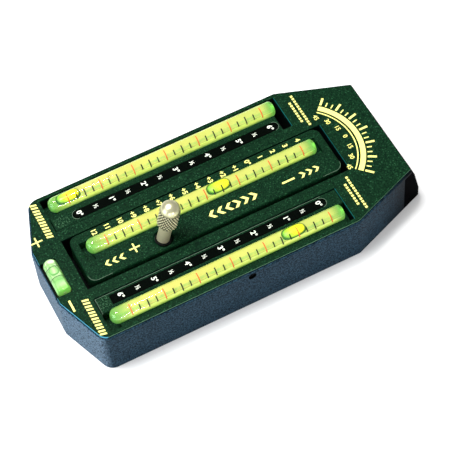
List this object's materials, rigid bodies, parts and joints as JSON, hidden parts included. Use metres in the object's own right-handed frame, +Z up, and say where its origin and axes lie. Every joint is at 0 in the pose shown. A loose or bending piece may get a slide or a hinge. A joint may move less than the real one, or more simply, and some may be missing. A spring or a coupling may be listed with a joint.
{
  "type": "camber caster gauge",
  "caption": "Flat wheel alignment level with side camber vials, a tilting caster vial set by a leaning thumb screw, a cross level and a threaded hub end.",
  "frame": {"origin": "centre of the flat underside, midway along the 180 mm body and its 88 mm width", "axes": "+Z up out of the face with the vials, +X towards the end that fastens to the hub, -Y the front flank"},
  "size_m": [0.1852, 0.088, 0.0529],
  "materials": {
    "slate_coat": "textured",
    "speckled_black": "satin",
    "black_anodise": "satin",
    "end_black": "satin",
    "cover_black": "satin",
    "strip_black": "matte",
    "vial_acrylic": "gloss",
    "vial_fluid": "gloss",
    "bubble_clear": "gloss",
    "nickel": "polished",
    "screw_steel": "satin",
    "brass_bush": "machined"
  },
  "bodies": {
    "housing": {"housing": "slate_coat", "face_plate": "speckled_black", "bottom_cover": "cover_black", "bottom_cover_screws": "screw_steel", "camber_plus_holder": "black_anodise", "camber_plus_scale": "strip_black", "camber_minus_holder": "black_anodise", "camber_minus_scale": "strip_black", "holder_screws": "screw_steel", "side_set_screws": "screw_steel", "caster_pivot_pin": "screw_steel", "adjuster_insert": "brass_bush", "carrier_spring": "screw_steel", "hub_block": "end_black", "hub_insert": "screw_steel", "hub_block_screws": "screw_steel", "camber_plus_vial": "vial_acrylic", "camber_plus_vial_plug": "vial_acrylic", "camber_plus_liquid": "vial_fluid", "camber_minus_vial": "vial_acrylic", "camber_minus_vial_plug": "vial_acrylic", "camber_minus_liquid": "vial_fluid", "cross_vial": "vial_acrylic", "cross_vial_plug": "vial_acrylic", "cross_liquid": "vial_fluid"},
    "carrier": {"caster_carrier": "black_anodise", "caster_vial": "vial_acrylic", "caster_vial_plug": "vial_acrylic", "caster_liquid": "vial_fluid"},
    "washer": {"adjuster_washer": "screw_steel"},
    "thumb_screw": {"adjuster_screw": "nickel"},
    "camber_plus_bubble_body": {"camber_plus_bubble": "bubble_clear"},
    "camber_minus_bubble_body": {"camber_minus_bubble": "bubble_clear"},
    "caster_bubble_body": {"caster_bubble": "bubble_clear"},
    "cross_bubble_body": {"cross_bubble": "bubble_clear"}
  },
  "joints": [
    {"name": "adjuster_feed", "type": "slide", "parent": "housing", "child": "washer", "axis": [0.2756, 0, 0.9613], "range_m": [-0.0024, 0.0024]},
    {"name": "adjuster_turn", "type": "hinge", "parent": "washer", "child": "thumb_screw", "pos_m": [-0.0321, -0.0079, 0.0285], "axis": [0.2756, 0, 0.9613], "range_deg": [-1080, 1080]},
    {"name": "caster_tilt", "type": "hinge", "parent": "housing", "child": "carrier", "pos_m": [0.046, 0, 0.0205], "axis": [0, 1, 0], "range_deg": [-1.8, 1.8], "deforming": ["carrier_spring"]},
    {"name": "camber_plus_bubble_slide", "type": "slide", "parent": "housing", "child": "camber_plus_bubble_body", "axis": [1, 0, 0], "range_m": [-0.001, 0.1029], "deforming": ["camber_plus_liquid"]},
    {"name": "camber_minus_bubble_slide", "type": "slide", "parent": "housing", "child": "camber_minus_bubble_body", "axis": [1, 0, 0], "range_m": [-0.0855, 0.0184], "deforming": ["camber_minus_liquid"]},
    {"name": "caster_bubble_slide", "type": "slide", "parent": "carrier", "child": "caster_bubble_body", "axis": [1, 0, 0], "range_m": [-0.0599, 0.044], "deforming": ["caster_liquid"]},
    {"name": "cross_bubble_slide", "type": "slide", "parent": "housing", "child": "cross_bubble_body", "axis": [0, 1, 0], "range_m": [-0.0083, 0.0025], "deforming": ["cross_liquid"]}
  ],
  "couplings": [
    {"joint": "adjuster_feed", "follows": "adjuster_turn", "m_per_rad": 0.00012732},
    {"joint": "caster_tilt", "follows": "adjuster_turn", "ratio": 0.0016476}
  ]
}
